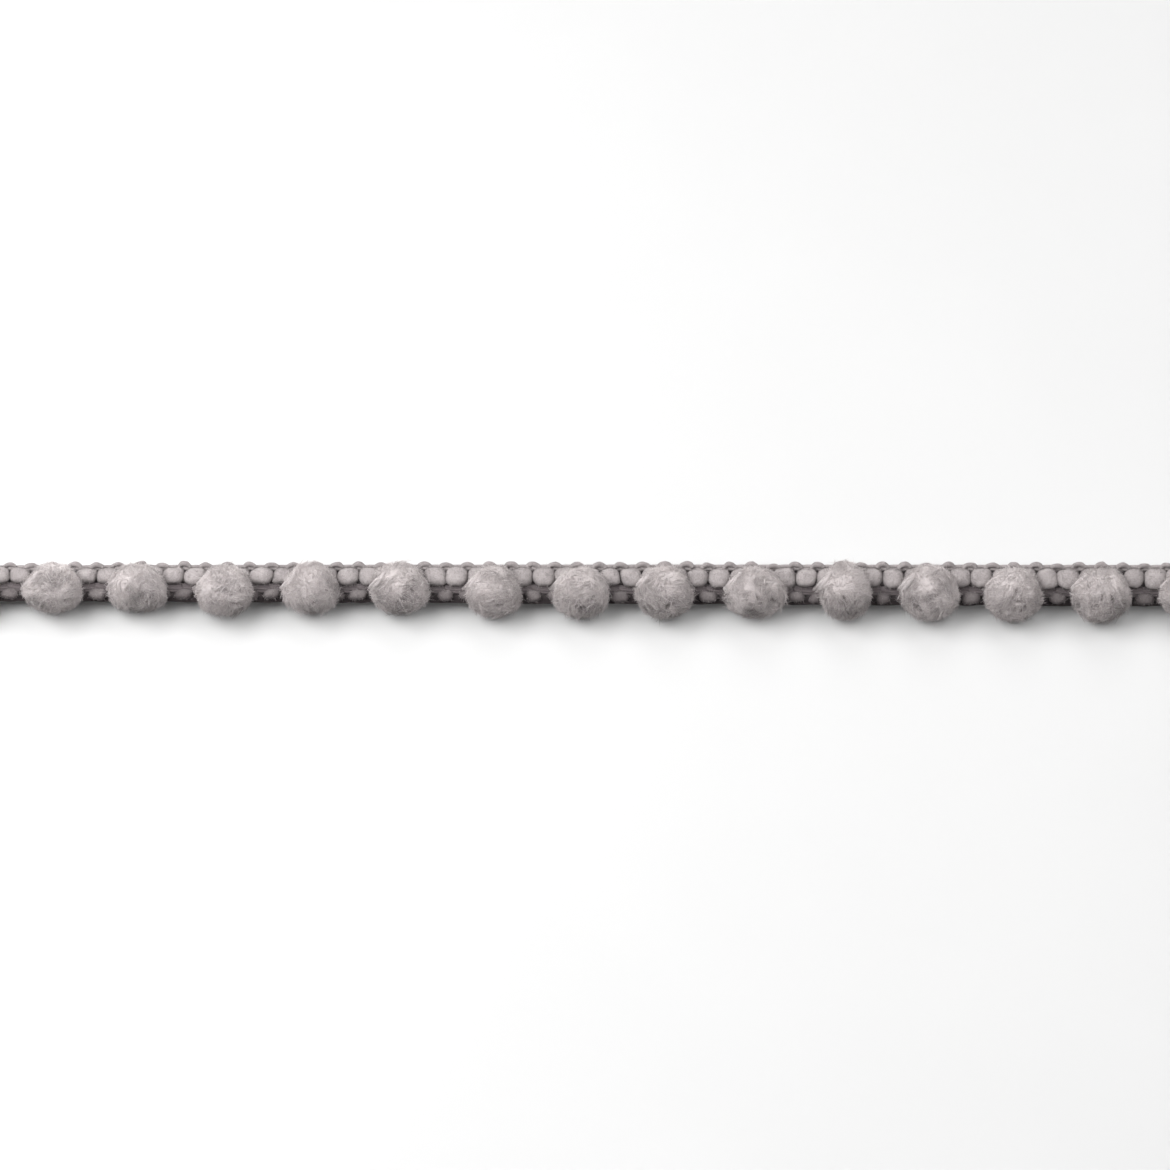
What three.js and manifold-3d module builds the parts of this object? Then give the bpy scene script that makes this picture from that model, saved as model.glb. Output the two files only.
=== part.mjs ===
// A cut length of pompom fringe trim that rests on its pompoms, face up: a row of round wool balls, bound
// into the lower chain of a narrow crocheted heading, which they hold clear of the surface. Millimetres,
// +X along the trim, +Y towards the heading's looped edge, +Z up from the surface that it rests on.
import * as THREE from "three";
import { mergeVertices } from "three/addons/utils/BufferGeometryUtils.js";
import Module from "manifold-3d";

// Driving dimensions
const POMPOM_PITCH = 12.7; // half an inch from one pompom to the next
const STITCHES_PER_POMPOM = 4;
const HEADING_WIDTH = 6.1; // looped edge to lower edge, along the cloth
const HEADING_BACK = 0.6; // middle of the yarn to the flat back
const CHAIN_DOWN = 5.15; // looped edge to the middle of the lower chain, along the cloth
const CHAIN_HEIGHT = 3.1; // middle of the lower chain above the surface
const CHAIN_LEFT = 0.55; // place of the lower chain across the trim, at its left end
const CHAIN_RIGHT = -0.5; // and at its right end
const RISE_LEFT = 3; // degrees by which the cloth rises from that chain to its looped edge, at its left end
const RISE_RIGHT = 27; // and at its right end, because the trim is slightly twisted
const POMPOM_MIDDLE_HEIGHT = 3.6; // a pompom's middle above the surface
const POMPOM_CROWN = 3.9; // a pompom's middle to its top
const POMPOM_UNDERSIDE = 4.2; // the same downwards, before the surface flattens it
const LOBES = 20; // locks of pile that stand out of one pompom
const LOBE_CREASE = 0.1; // depth of the creases between locks, as a share of the radius
const POMPOM_DETAIL = 4; // how finely the ball is divided
const FITTING_GAP = 0.3; // clearance between a pompom and the heading that passes through it

const YARN_COLOUR = 0xb3adab;
const PILE_COLOUR = 0xbdb7b4;

// One row for each pompom, left to right. shift: off its even place along the trim; back: off the lower
// chain's line, towards the looped edge; wide and deep: size along and across the trim; tuft: a lock that
// sticks out, at an angle anticlockwise from +X in degrees, and reach: how far, in millimetres.
const POMPOMS = [
  { shift: 0.1, back: -0.2, wide: 8.6, deep: 8.4, tuft: 200, reach: 0.2 },
  { shift: 0.0, back: 0.1, wide: 8.7, deep: 8.4, tuft: 175, reach: 0.3 },
  { shift: -0.3, back: 0.3, wide: 8.7, deep: 8.1, tuft: 160, reach: 0.3 },
  { shift: -0.4, back: -0.1, wide: 8.4, deep: 8.7, tuft: 250, reach: 0.2 },
  { shift: -0.5, back: 0.4, wide: 8.4, deep: 8.3, tuft: 235, reach: 0.2 },
  { shift: -0.4, back: 0.4, wide: 8.9, deep: 8.6, tuft: 95, reach: 0.5 },
  { shift: 0.7, back: -0.1, wide: 8.4, deep: 8.0, tuft: 205, reach: 0.2 },
  { shift: 0.6, back: -0.2, wide: 8.3, deep: 8.1, tuft: 300, reach: 0.2 },
  { shift: 0.0, back: -0.1, wide: 8.6, deep: 8.7, tuft: 265, reach: 0.4 },
  { shift: 0.5, back: 0.0, wide: 9.2, deep: 8.1, tuft: 215, reach: 0.2 },
  { shift: 0.9, back: 0.3, wide: 8.1, deep: 9.4, tuft: 240, reach: 0.3 },
  { shift: 0.4, back: 0.1, wide: 9.0, deep: 8.6, tuft: 255, reach: 0.6 },
  { shift: 0.0, back: -0.2, wide: 8.7, deep: 8.1, tuft: 245, reach: 0.4 },
  { shift: 0.0, back: -0.1, wide: 9.0, deep: 8.6, tuft: 285, reach: 0.3 },
  { shift: 0.1, back: 0.1, wide: 8.7, deep: 8.4, tuft: 190, reach: 0.2 },
];

// The heading's face from its looped edge down. down: distance from the edge line; face: height of the
// ground above the middle of the yarn; upper and lower: how far a stitch of the upper or the lower
// chain swells on top of that; swing: how far the outline moves out at each loop.
const HEADING_ROWS = [
  { down: 0.1, face: 0.05, upper: 0.0, lower: 0.0, swing: 0.3 },
  { down: 0.5, face: 0.45, upper: 0.0, lower: 0.0, swing: 0.2 },
  { down: 1.0, face: 0.15, upper: 0.1, lower: 0.0, swing: 0.0 },
  { down: 1.4, face: 0.25, upper: 0.6, lower: 0.0, swing: 0.0 },
  { down: 2.3, face: 0.25, upper: 0.9, lower: 0.0, swing: 0.0 },
  { down: 3.15, face: 0.25, upper: 0.6, lower: 0.0, swing: 0.0 },
  { down: 3.75, face: 0.05, upper: 0.0, lower: 0.0, swing: 0.0 },
  { down: 4.3, face: 0.1, upper: 0.0, lower: 0.5, swing: 0.0 },
  { down: 5.0, face: 0.1, upper: 0.0, lower: 0.8, swing: 0.0 },
  { down: 5.7, face: 0.1, upper: 0.0, lower: 0.5, swing: 0.0 },
  { down: HEADING_WIDTH - 0.1, face: 0.0, upper: 0.0, lower: 0.0, swing: -0.1 },
];

// Across one stitch, from one joint of the upper chain to the next. swell: how full the upper chain's
// stitch is there; block: the same for the lower chain, which is set half a stitch along; loop: how far
// the looped edge stands out.
const STITCH_STEPS = [
  { share: 0.0, swell: 0.0, block: 1.0, loop: 1.0 },
  { share: 0.2, swell: 0.8, block: 0.8, loop: 0.5 },
  { share: 0.5, swell: 1.0, block: 0.0, loop: -0.7 },
  { share: 0.8, swell: 0.8, block: 0.8, loop: 0.5 },
];

const LENGTH = POMPOMS.length * POMPOM_PITCH;
const STITCH = POMPOM_PITCH / STITCHES_PER_POMPOM;
const SLOT_FACE = Math.max(...HEADING_ROWS.map((r) => r.face + Math.max(r.upper, r.lower))) + FITTING_GAP;
const SLOT_BACK = HEADING_BACK + FITTING_GAP;

const wasm = await Module();
wasm.setup();

// The place of the lower chain across the trim, at a place along it.
function chainAcross(x) {
  return THREE.MathUtils.lerp(CHAIN_LEFT, CHAIN_RIGHT, x / LENGTH + 0.5);
}

// The cloth's rise at a place along the trim, in radians.
function riseAt(x) {
  return THREE.MathUtils.degToRad(THREE.MathUtils.lerp(RISE_LEFT, RISE_RIGHT, x / LENGTH + 0.5));
}

// The frame of the heading at x, on its looped edge: +Y up the cloth past that edge, +Z out of its face.
function headingFrame(x) {
  return new THREE.Matrix4()
    .makeTranslation(x, chainAcross(x), CHAIN_HEIGHT)
    .multiply(new THREE.Matrix4().makeRotationX(riseAt(x)))
    .multiply(new THREE.Matrix4().makeTranslation(0, CHAIN_DOWN, 0));
}

// A point of the heading: down from the looped edge along the cloth, and out from the yarn's middle.
function headingPoint(x, down, out) {
  return new THREE.Vector3(0, -down, out).applyMatrix4(headingFrame(x));
}

// The triangles that close one flat section, as triples of its points' numbers. They face +X.
function capTriangles(section) {
  return THREE.ShapeUtils.triangulateShape(
    section.map((p) => new THREE.Vector2(p.y, p.z)),
    [],
  );
}

// The two triangles of a four-sided face, split from its first corner or from its second.
function splitFace([a, b, c, d], fromFirst) {
  return fromFirst ? [a, b, c, a, c, d] : [a, b, d, b, c, d];
}

// A solid through flat sections of equal numbers of points, set one after another along +X. Each
// four-sided face between two sections is split along its shorter diagonal.
function loftGeometry(sections) {
  const around = sections[0].length;
  const positions = sections.flat().flatMap((p) => [p.x, p.y, p.z]);
  const index = [];
  for (let i = 0; i + 1 < sections.length; i++)
    for (let j = 0; j < around; j++) {
      const next = (j + 1) % around;
      const corners = [i * around + j, i * around + next, (i + 1) * around + next, (i + 1) * around + j];
      const across = sections[i][j].distanceTo(sections[i + 1][next]);
      const other = sections[i][next].distanceTo(sections[i + 1][j]);
      index.push(...splitFace(corners, across < other));
    }
  const last = (sections.length - 1) * around;
  const [leftEnd, rightEnd] = [sections[0], sections[sections.length - 1]].map(capTriangles);
  for (const [a, b, c] of leftEnd) index.push(a, c, b);
  for (const [a, b, c] of rightEnd) index.push(last + a, last + b, last + c);
  const geometry = new THREE.BufferGeometry();
  geometry.setAttribute("position", new THREE.Float32BufferAttribute(positions, 3));
  geometry.setIndex(index);
  return geometry;
}

// One section across the heading at x: its face from the looped edge down, then its flat back.
function headingSection(x, step) {
  const face = HEADING_ROWS.map((r) =>
    headingPoint(x, r.down - r.swing * step.loop, r.face + r.upper * step.swell + r.lower * step.block),
  );
  const first = HEADING_ROWS[0];
  const last = HEADING_ROWS[HEADING_ROWS.length - 1];
  const back = [last, first].map((r) => headingPoint(x, r.down - r.swing * step.loop, -HEADING_BACK));
  return [...face, ...back];
}

// The crocheted heading: an upper chain of full stitches, a lower chain set half a stitch along, and a
// loop of yarn over each joint of the upper chain along its free edge.
function headingGeometry() {
  const sections = [];
  const stitches = Math.round(LENGTH / STITCH);
  for (let n = 0; n < stitches; n++)
    for (const step of STITCH_STEPS)
      sections.push(headingSection(-LENGTH / 2 + (n + step.share) * STITCH, step));
  sections.push(headingSection(LENGTH / 2, STITCH_STEPS[0]));
  return loftGeometry(sections);
}

// Evenly spread directions over a ball, turned by a different angle for each pompom.
function lobeDirections(turn) {
  const golden = Math.PI * (3 - Math.sqrt(5));
  return Array.from({ length: LOBES }, (_, i) => {
    const height = 1 - (2 * (i + 0.5)) / LOBES;
    const ring = Math.sqrt(1 - height * height);
    const angle = golden * i * (1 + 0.07 * Math.sin(turn + i)) + turn;
    return new THREE.Vector3(ring * Math.cos(angle), height, ring * Math.sin(angle)).normalize();
  });
}

// The share of the full radius that the pile reaches in a direction: a crown on each lock and a crease
// where two locks meet, with every lock a little longer or shorter than the next.
function pileReach(direction, lobes) {
  const angles = lobes.map((lobe, i) => ({ angle: lobe.angleTo(direction), i }));
  angles.sort((a, b) => a.angle - b.angle);
  const crease = 1 - THREE.MathUtils.smoothstep(angles[1].angle - angles[0].angle, 0, 0.42);
  const unevenness = 0.03 * Math.sin(5.1 * angles[0].i);
  return 1 + unevenness * (1 - crease) - LOBE_CREASE * crease;
}

// A three.js geometry as a manifold-3d solid, and back.
function solidOf(geometry) {
  const bare = geometry.clone();
  bare.deleteAttribute("normal");
  bare.deleteAttribute("uv");
  const merged = mergeVertices(bare, 1e-4);
  return new wasm.Manifold(
    new wasm.Mesh({
      numProp: 3,
      vertProperties: new Float32Array(merged.attributes.position.array),
      triVerts: new Uint32Array(merged.index.array),
    }),
  );
}

function geometryOf(solid) {
  const mesh = solid.getMesh();
  const geometry = new THREE.BufferGeometry();
  geometry.setAttribute("position", new THREE.BufferAttribute(mesh.vertProperties, 3));
  geometry.setIndex(new THREE.BufferAttribute(mesh.triVerts, 1));
  geometry.computeVertexNormals();
  return geometry;
}

// One ball of pile about its own middle, in locks, with its stray tuft and its flattened underside.
function pileBall(row, order) {
  const ball = mergeVertices(
    new THREE.IcosahedronGeometry(1, POMPOM_DETAIL).deleteAttribute("normal").deleteAttribute("uv"),
    1e-4,
  );
  const lobes = lobeDirections(order * 2.4);
  const tuftAngle = THREE.MathUtils.degToRad(row.tuft);
  const tuft = new THREE.Vector3(Math.cos(tuftAngle), Math.sin(tuftAngle), 0);
  const place = ball.attributes.position;
  for (let i = 0; i < place.count; i++) {
    const direction = new THREE.Vector3().fromBufferAttribute(place, i).normalize();
    const pull = THREE.MathUtils.smoothstep(direction.dot(tuft), 0.82, 1) * row.reach;
    const point = direction.clone().multiplyScalar(pileReach(direction, lobes));
    const upright = direction.z > 0 ? POMPOM_CROWN : POMPOM_UNDERSIDE;
    point.multiply(new THREE.Vector3(row.wide / 2, row.deep / 2, upright));
    point.addScaledVector(tuft, pull);
    point.z = Math.max(point.z, -POMPOM_MIDDLE_HEIGHT);
    place.setXYZ(i, point.x, point.y, point.z);
  }
  return letOut(ball, row.wide, row.deep);
}

// The ball centred and let out to its full size along and across, where creases fall on its outline.
function letOut(ball, wide, deep) {
  const box = new THREE.Box3().setFromBufferAttribute(ball.attributes.position);
  const size = box.getSize(new THREE.Vector3());
  const middle = box.getCenter(new THREE.Vector3());
  return ball.translate(-middle.x, -middle.y, 0).scale(wide / size.x, deep / size.y, 1);
}

// The slot by which the pile closes round the heading: from just past its lower edge, out at the back.
function headingSlot(middle) {
  const reach = 2 * HEADING_WIDTH;
  const deep = SLOT_FACE + SLOT_BACK;
  const lowest = HEADING_WIDTH + FITTING_GAP;
  const slot = new THREE.BoxGeometry(4 * POMPOM_PITCH, reach, deep);
  slot.translate(0, reach / 2 - lowest, (SLOT_FACE - SLOT_BACK) / 2);
  slot.applyMatrix4(headingFrame(middle.x));
  slot.translate(-middle.x, -middle.y, -middle.z);
  return slot;
}

// One pompom: its ball of pile, slit where the heading passes through it.
function pompomMesh(row, order, material) {
  const along = (order - (POMPOMS.length - 1) / 2) * POMPOM_PITCH + row.shift;
  const middle = new THREE.Vector3(along, chainAcross(along) + row.back, POMPOM_MIDDLE_HEIGHT);
  const cut = solidOf(pileBall(row, order)).subtract(solidOf(headingSlot(middle)));
  const mesh = new THREE.Mesh(geometryOf(cut), material);
  mesh.name = "pompom_" + String(order + 1).padStart(2, "0");
  mesh.position.copy(middle);
  return mesh;
}

const yarn = new THREE.MeshStandardMaterial({ color: YARN_COLOUR, roughness: 0.95, metalness: 0 });
const pile = new THREE.MeshStandardMaterial({ color: PILE_COLOUR, roughness: 1, metalness: 0 });

const trim = new THREE.Group();
const heading = new THREE.Mesh(headingGeometry(), yarn);
heading.name = "heading";
trim.add(heading);
POMPOMS.forEach((row, order) => trim.add(pompomMesh(row, order, pile)));

// The origin is the middle of the trim's underside.
const bounds = new THREE.Box3().setFromObject(trim, true);
const centre = bounds.getCenter(new THREE.Vector3());
trim.position.set(-centre.x, -centre.y, -bounds.min.z);

export default trim;
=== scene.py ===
"""The looks of a cut length of pompom fringe trim that rests on its pompoms on a pale surface.

The trim is a narrow crocheted heading of thick soft yarn, whose lower chain binds a row of round pompoms
of dense wool pile. They hold it clear of the surface. Lengths are millimetres, unless a docstring says
metres, and a mesh is made in metres. +X runs along the trim, +Y towards the heading's looped edge and +Z
up from the surface.
"""

import logging
import math
from dataclasses import dataclass, field, replace
from enum import Enum
from itertools import product
from typing import Callable

import bmesh
import bpy
import numpy as np
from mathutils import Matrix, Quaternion, Vector


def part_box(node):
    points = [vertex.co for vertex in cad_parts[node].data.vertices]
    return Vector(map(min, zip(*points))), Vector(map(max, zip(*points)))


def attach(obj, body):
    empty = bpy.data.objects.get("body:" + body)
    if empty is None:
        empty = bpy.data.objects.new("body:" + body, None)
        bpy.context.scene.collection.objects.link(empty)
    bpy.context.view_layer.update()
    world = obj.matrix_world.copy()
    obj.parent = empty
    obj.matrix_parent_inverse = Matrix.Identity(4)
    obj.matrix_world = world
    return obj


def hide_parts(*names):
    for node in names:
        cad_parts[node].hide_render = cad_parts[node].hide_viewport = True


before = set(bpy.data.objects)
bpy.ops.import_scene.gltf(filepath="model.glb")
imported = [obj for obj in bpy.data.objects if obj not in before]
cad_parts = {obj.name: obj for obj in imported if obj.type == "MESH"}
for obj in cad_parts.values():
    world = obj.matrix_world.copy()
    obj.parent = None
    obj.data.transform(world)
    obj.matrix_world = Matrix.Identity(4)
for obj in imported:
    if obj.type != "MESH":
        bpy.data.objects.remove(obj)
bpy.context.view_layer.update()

LOG = logging.getLogger("pompom_trim")
MM = 0.001
BODY = "root"
FRONT_RISE = math.radians(60.0)

Array = np.ndarray
Place = float | Array
Span = tuple[float, float]
Colour = tuple[float, float, float]
Shape = tuple[Array, Array]

# The trim's front: the direction that it shows to the camera, and the one that is upright there.
FRONT = np.array([0.0, -math.cos(FRONT_RISE), math.sin(FRONT_RISE)])
FRONT_UP = np.array([0.0, math.sin(FRONT_RISE), math.cos(FRONT_RISE)])

# A fibre has three sides, at these turns about it. A long hair has these sections: how far along it each
# lies, and what share of its thickness it has there.
THIRDS = (0.0, 2.0 * math.pi / 3.0, 4.0 * math.pi / 3.0)
HAIR_SECTIONS = ((0.0, 1.0), (0.4, 0.8), (0.75, 0.55))
HAIR_POINTS = len(THIRDS) * len(HAIR_SECTIONS) + 1

# How much the thickness of single fibres differs, how much the length of yarn's nap and of the pompoms'
# pile does, and how far nap strays from the way it leans.
THICK_SPREAD = (0.7, 1.3)
NAP_SPREAD = (0.5, 1.4)
PILE_SPREAD = (0.5, 1.3)
NAP_SCATTER = 0.3


class Lay(Enum):
    """How the short fibres of a surface lie, as the share of each that stands up out of the surface."""

    STANDING = 0.75
    LEANING = 0.5
    COMBED = 0.3


# ---------------------------------------------------------------------------------------------------
# Shape helpers
# ---------------------------------------------------------------------------------------------------


def unit(vectors: Array) -> Array:
    """Vectors scaled to a length of one.

    Args:
        vectors: Any number of vectors, along the last axis.

    Returns:
        The same array with each vector one long.
    """
    return vectors / np.maximum(np.linalg.norm(vectors, axis=-1, keepdims=True), 1e-12)


def smoothstep(value: Array, low: float, high: float) -> Array:
    """A smooth rise from 0 at low to 1 at high.

    Args:
        value: Where to read the rise.
        low: Where the rise starts.
        high: Where it ends.

    Returns:
        The rise at each value.
    """
    share = np.clip((value - low) / (high - low), 0.0, 1.0)
    return share * share * (3.0 - 2.0 * share)


class SoftNoise:
    """Smooth random hills through space, the same on each run for the same seed."""

    CELLS = 48

    def __init__(self, seed: int) -> None:
        """Draws the hills.

        Args:
            seed: Which hills to draw.
        """
        self.lattice = np.random.default_rng(seed).uniform(-1.0, 1.0, (self.CELLS,) * 3)

    def at(self, points: Array, wavelength: float) -> Array:
        """The height of the hills at some points.

        Args:
            points: Points in millimetres, one a row.
            wavelength: Distance between two hills, in millimetres.

        Returns:
            One height for each point, from -1 to 1.
        """
        grid = points / wavelength
        low = np.floor(grid).astype(int)
        share = grid - low
        share = share * share * (3.0 - 2.0 * share)
        total = np.zeros(len(points))
        for corner in product((0, 1), repeat=3):
            weight = np.prod(np.where(corner, share, 1.0 - share), axis=1)
            i, j, k = ((low + corner) % self.CELLS).T
            total += weight * self.lattice[i, j, k]
        return total


@dataclass
class Batch:
    """Closed shells that are gathered into one mesh."""

    name: str
    points: list[Array] = field(default_factory=list)
    faces: list[Array] = field(default_factory=list)
    smooth: list[bool] = field(default_factory=list)
    tone_and_painted_shade: list[Array] = field(default_factory=list)
    count: int = 0

    def add(self, shape: Shape, smooth: bool = True, tone_and_painted_shade: Array | None = None) -> None:
        """Adds a shape to the mesh.

        Args:
            shape: Its points in millimetres and its faces, all with equal numbers of corners.
            smooth: Whether its faces are shaded smoothly.
            tone_and_painted_shade: Painted shade and light, with random tone: 0 in the pile's depth, 1 at a
                fibre's tip.
        """
        points, faces = shape
        self.points.append(points)
        self.faces.append(faces + self.count)
        self.smooth.append(smooth)
        self.tone_and_painted_shade.append(np.full(len(points), 0.5) if tone_and_painted_shade is None else tone_and_painted_shade)
        self.count += len(points)

    def build(self) -> bpy.types.Object:
        """Makes the mesh and its object.

        Returns:
            The new object, in the scene.
        """
        mesh = bpy.data.meshes.new(self.name)
        points = np.concatenate(self.points) * MM
        corners = np.concatenate([f.ravel() for f in self.faces])
        sizes = np.concatenate([np.full(len(f), f.shape[1]) for f in self.faces])
        starts = np.concatenate([[0], np.cumsum(sizes)[:-1]])
        smooth = np.concatenate([np.full(len(f), s) for f, s in zip(self.faces, self.smooth)])
        mesh.vertices.add(len(points))
        mesh.vertices.foreach_set("co", points.astype(np.float32).ravel())
        mesh.loops.add(len(corners))
        mesh.loops.foreach_set("vertex_index", corners.astype(np.int32))
        mesh.polygons.add(len(sizes))
        mesh.polygons.foreach_set("loop_start", starts.astype(np.int32))
        mesh.polygons.foreach_set("use_smooth", smooth)
        # Each point's painted shade and light, with some random tone, which the wool's material turns into
        # colour.
        tip = mesh.attributes.new("pile_tone_and_painted_shade", "FLOAT", "POINT")
        tip.data.foreach_set("value", np.concatenate(self.tone_and_painted_shade).astype(np.float32))
        mesh.update(calc_edges=True)
        mesh.validate()
        piece = bpy.data.objects.new(self.name, mesh)
        bpy.context.scene.collection.objects.link(piece)
        return piece


def triangle_count(piece: bpy.types.Object) -> int:
    """The number of triangles that a piece's faces come to."""
    return sum(len(face.vertices) - 2 for face in piece.data.polygons)


def yarn_shells(paths: Array, across: Array, out: Array, wide: Array, deep: Array, sides: int,
                squareness: float = 2.0) -> tuple[Shape, Shape]:
    """Closed lengths of yarn along several paths, each with its own thickness at each step.

    Args:
        paths: Points on the middle lines, indexed by yarn, step and coordinate.
        across: The direction of each section's width, indexed likewise.
        out: The direction of each section's depth, indexed likewise.
        wide: Half of the width, indexed by yarn and step.
        deep: Half of the depth, indexed likewise.
        sides: How many sides a section has.
        squareness: 2 for an oval section, and more for one with fuller corners.

    Returns:
        The sides as four-cornered faces and the two ends as three-cornered ones.
    """
    yarns, steps = paths.shape[:2]
    angle = 2.0 * math.pi * np.arange(sides) / sides
    power = 2.0 / squareness
    cosine = np.sign(np.cos(angle)) * np.abs(np.cos(angle)) ** power
    sine = np.sign(np.sin(angle)) * np.abs(np.sin(angle)) ** power
    rings = (
        paths[:, :, None, :]
        + across[:, :, None, :] * (wide[:, :, None] * cosine)[..., None]
        + out[:, :, None, :] * (deep[:, :, None] * sine)[..., None]
    )
    body = rings.reshape(-1, 3)
    yarn, step, side = np.meshgrid(np.arange(yarns), np.arange(steps - 1), np.arange(sides), indexing="ij")
    first = (yarn * steps + step) * sides
    a, b = first + side, first + (side + 1) % sides
    quads = np.stack([a, b, b + sides, a + sides], axis=-1).reshape(-1, 4)
    ends = np.concatenate([rings[:, 0], rings[:, -1]], axis=0)
    poles = np.concatenate([paths[:, 0], paths[:, -1]], axis=0)
    shell, side = np.meshgrid(np.arange(2 * yarns), np.arange(sides), indexing="ij")
    a, b = shell * sides + side, shell * sides + (side + 1) % sides
    pole = np.broadcast_to(2 * yarns * sides + np.arange(2 * yarns)[:, None], a.shape)
    near = np.broadcast_to(np.arange(2 * yarns)[:, None] < yarns, a.shape)
    fans = np.stack([np.where(near, b, a), np.where(near, a, b), pole], axis=-1).reshape(-1, 3)
    caps = np.concatenate([ends.reshape(-1, 3), poles])
    return (body, quads), (caps, fans)


def fibre_sides(along: Array, rng: np.random.Generator) -> tuple[Array, Array]:
    """Two directions across each fibre, square to each other, at a random turn about it.

    Args:
        along: Which way each fibre runs, one long.
        rng: The source of the turns.

    Returns:
        The two directions.
    """
    side = unit(np.cross(along, unit(rng.normal(size=along.shape))))
    return side, np.cross(along, side)


def fibre_section(middle: Array, sides: tuple[Array, Array], radius: Place) -> list[Array]:
    """The three corners of each fibre's section.

    Args:
        middle: The middle of each section.
        sides: The two directions across each fibre.
        radius: How far the corners are from the middle.

    Returns:
        The corners, one array for each of the three.
    """
    side, other = sides
    return [middle + (side * math.cos(turn) + other * math.sin(turn)) * radius for turn in THIRDS]


def spikes(roots: Array, along: Array, length: Array, thick: Array, rng: np.random.Generator) -> Shape:
    """Short straight fibres, each a closed three-sided spike.

    Args:
        roots: Where they grow from.
        along: Which way each grows, one long.
        length: How long each is.
        thick: How thick each is at its root.
        rng: The source of their turn about themselves.

    Returns:
        Their points, four for each, and their faces, also four for each.
    """
    corners = fibre_section(roots, fibre_sides(along, rng), (thick / 2.0)[:, None])
    points = np.stack([*corners, roots + along * length[:, None]], axis=1).reshape(-1, 3)
    pattern = np.array([[0, 1, 3], [1, 2, 3], [2, 0, 3], [0, 2, 1]])
    faces = (np.arange(len(roots))[:, None, None] * 4 + pattern).reshape(-1, 3)
    return points, faces


def spike_tips(root: Array, tip: Array) -> Array:
    """The painted shade of the points of spikes, as Batch.add takes it.

    Args:
        root: The painted shade at each one's root.
        tip: The painted shade at each one's tip.

    Returns:
        Four values for each spike.
    """
    return np.stack([root, root, root, tip], axis=1).ravel()


def bent_hairs(roots: Array, along: Array, droop: Array, length: Array, thick: float,
               rng: np.random.Generator) -> Shape:
    """Long fibres and stray hairs, each a closed three-sided spike with two bends.

    Args:
        roots: Where they grow from.
        along: Which way each starts, one long.
        droop: How its direction changes over its length.
        length: How long each is.
        thick: How thick they are at their roots.
        rng: The source of their turn about themselves.

    Returns:
        Their points, HAIR_POINTS for each, and their faces.
    """
    sides = fibre_sides(along, rng)
    rings = []
    for share, size in HAIR_SECTIONS:
        middle = roots + (along * share + droop * share * share) * length[:, None]
        rings += fibre_section(middle, sides, thick * size / 2.0)
    rings.append(roots + (along + droop) * length[:, None])
    points = np.stack(rings, axis=1).reshape(-1, 3)
    tip = HAIR_POINTS - 1
    pattern = [[0, 2, 1]]
    for low in range(0, tip - 3, 3):
        for k in range(3):
            a, b = low + k, low + (k + 1) % 3
            pattern += [[a, b, b + 3], [a, b + 3, a + 3]]
    pattern += [[tip - 3, tip - 2, tip], [tip - 2, tip - 1, tip], [tip - 1, tip - 3, tip]]
    faces = (np.arange(len(roots))[:, None, None] * HAIR_POINTS + np.array(pattern)).reshape(-1, 3)
    return points, faces


def nap_on(shape: Shape, count: int, lay: Lay, flow: Callable[[Array], Array], length: float, thick: float,
           rng: np.random.Generator) -> Shape:
    """Short fibres that grow all over a surface of four-cornered faces.

    Args:
        shape: The surface's points and faces.
        count: How many fibres there are.
        lay: How they lie.
        flow: Gives the direction in which the fibres lie at some points.
        length: How long they are on the whole.
        thick: How thick they are on the whole.
        rng: The source of their places and of how much they differ.

    Returns:
        The fibres.
    """
    points, faces = shape
    corners = points[faces[rng.integers(0, len(faces), count)]]
    roots = np.einsum("nk,nkc->nc", rng.dirichlet(np.ones(4), count), corners)
    normal = unit(np.cross(corners[:, 2] - corners[:, 0], corners[:, 3] - corners[:, 1]))
    along = unit(
        normal * lay.value
        + flow(roots) * rng.normal(0.0, 1.0, (count, 1)) * (1.0 - lay.value)
        + rng.normal(0.0, NAP_SCATTER, (count, 3))
    )
    lengths = length * rng.uniform(*NAP_SPREAD, count)
    thicks = thick * rng.uniform(*THICK_SPREAD, count)
    return spikes(roots - normal * thick / 2.0, along, lengths, thicks, rng)


def above_surface(shape: Shape, clearance: float = 0.02) -> Shape:
    """The same shape with no point lower than just above the surface that the trim lies on.

    Args:
        shape: Its points and faces.
        clearance: How far above the surface the lowest points are kept.

    Returns:
        The raised points and the same faces.
    """
    points = shape[0].copy()
    points[:, 2] = np.maximum(points[:, 2], clearance)
    return points, shape[1]


def ball_directions(cuts: int) -> Shape:
    """Evenly spread directions and the triangles between them.

    Args:
        cuts: How often an icosahedron's faces are cut in four.

    Returns:
        Points one long, and faces.
    """
    mesh = bmesh.new()
    bmesh.ops.create_icosphere(mesh, subdivisions=cuts, radius=1.0)
    points = np.array([v.co[:] for v in mesh.verts])
    faces = np.array([[v.index for v in f.verts] for f in mesh.faces])
    mesh.free()
    return unit(points), faces


# ---------------------------------------------------------------------------------------------------
# Finishes
# ---------------------------------------------------------------------------------------------------


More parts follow.
